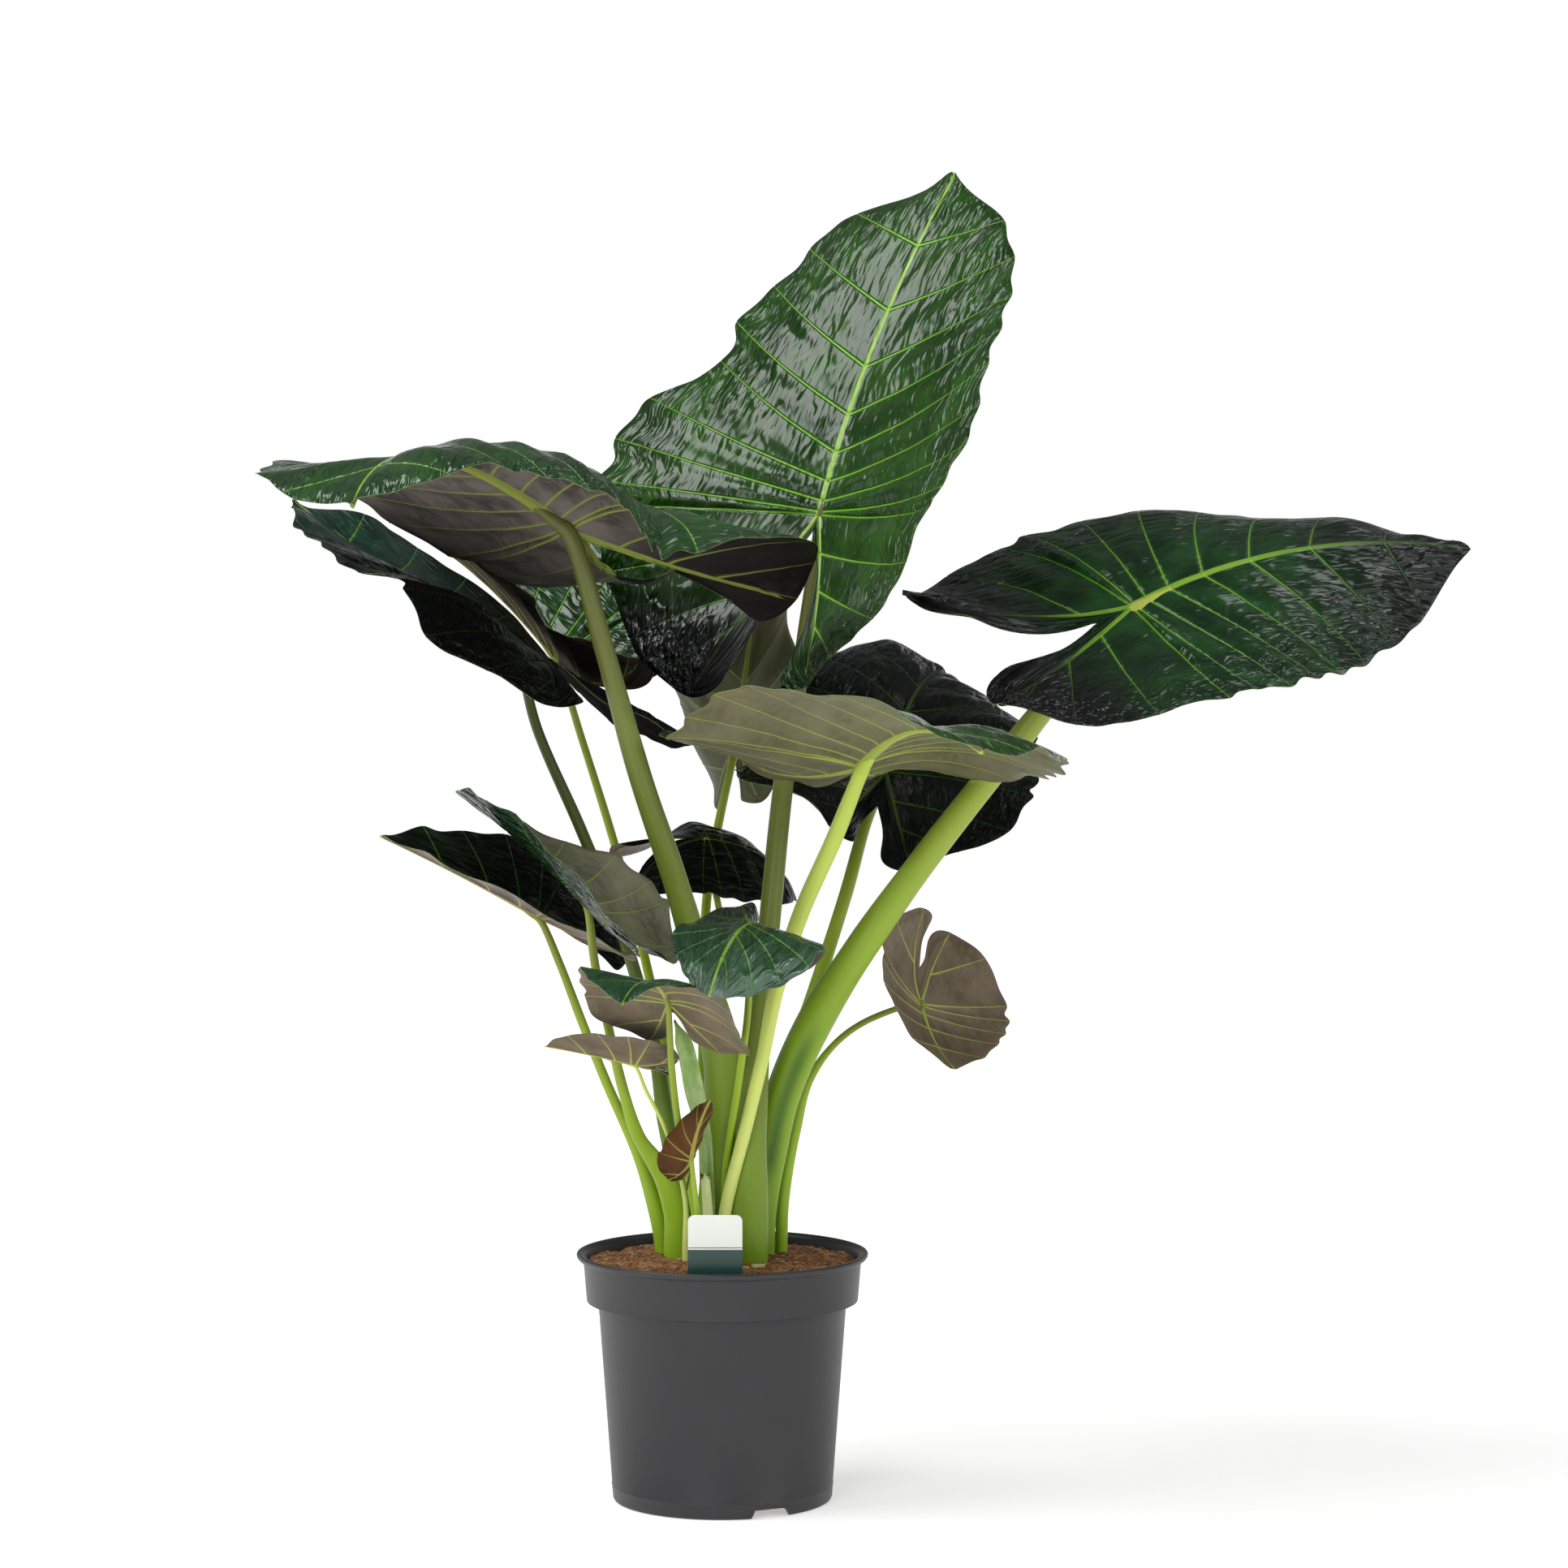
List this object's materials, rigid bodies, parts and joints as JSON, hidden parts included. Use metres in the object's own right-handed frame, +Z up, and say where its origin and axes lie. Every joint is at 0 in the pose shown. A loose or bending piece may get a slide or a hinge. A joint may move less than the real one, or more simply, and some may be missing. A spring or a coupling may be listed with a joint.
{
  "type": "potted houseplant",
  "caption": "Broad-leaved foliage plant with large arrow-shaped leaves on long stalks, rooted in a round tapered nursery pot with a plant label.",
  "frame": {"origin": "centre of the pot's underside, on the surface that the pot stands on", "axes": "+Z up, out of the pot; -Y towards the side that the plant label faces"},
  "size_m": [1.1197, 0.9122, 1.2372],
  "materials": {
    "pot_plastic": "matt moulded plastic, dark grey",
    "coir": "loose brown coconut fibre",
    "rhizome": "brown bark-like root",
    "label_card": "printed card, pale with a dark green lower part",
    "leaf_blade": "thick dark green leaf, satin, with pale lime veins and a grey-brown underside",
    "stalk": "smooth olive green stem",
    "pale_stalk": "smooth pale yellow-green stem",
    "dry_sheath": "dry papery plant skin"
  },
  "bodies": {
    "root": {"pot": "pot_plastic", "soil": "coir", "rootstock": "rhizome", "label": "label_card", "leaf_01_blade": "leaf_blade", "leaf_01_stalk": "stalk", "leaf_02_blade": "leaf_blade", "leaf_02_stalk": "stalk", "leaf_03_blade": "leaf_blade", "leaf_03_stalk": "stalk", "leaf_04_blade": "leaf_blade", "leaf_04_stalk": "pale_stalk", "leaf_05_blade": "leaf_blade", "leaf_05_stalk": "stalk", "leaf_06_blade": "leaf_blade", "leaf_06_stalk": "stalk", "leaf_07_blade": "leaf_blade", "leaf_07_stalk": "stalk", "leaf_08_blade": "leaf_blade", "leaf_08_stalk": "stalk", "leaf_09_blade": "leaf_blade", "leaf_09_stalk": "stalk", "leaf_10_blade": "leaf_blade", "leaf_10_stalk": "stalk", "leaf_11_blade": "leaf_blade", "leaf_11_stalk": "stalk", "leaf_12_blade": "leaf_blade", "leaf_12_stalk": "stalk", "leaf_13_blade": "leaf_blade", "leaf_13_stalk": "stalk", "leaf_14_blade": "leaf_blade", "leaf_14_stalk": "stalk", "leaf_15_blade": "leaf_blade", "leaf_15_stalk": "stalk", "leaf_16_blade": "leaf_blade", "leaf_16_stalk": "stalk", "dried_sheath": "dry_sheath", "cut_stub": "pale_stalk", "chip_1": "dry_sheath", "chip_2": "dry_sheath"}
  },
  "joints": []
}
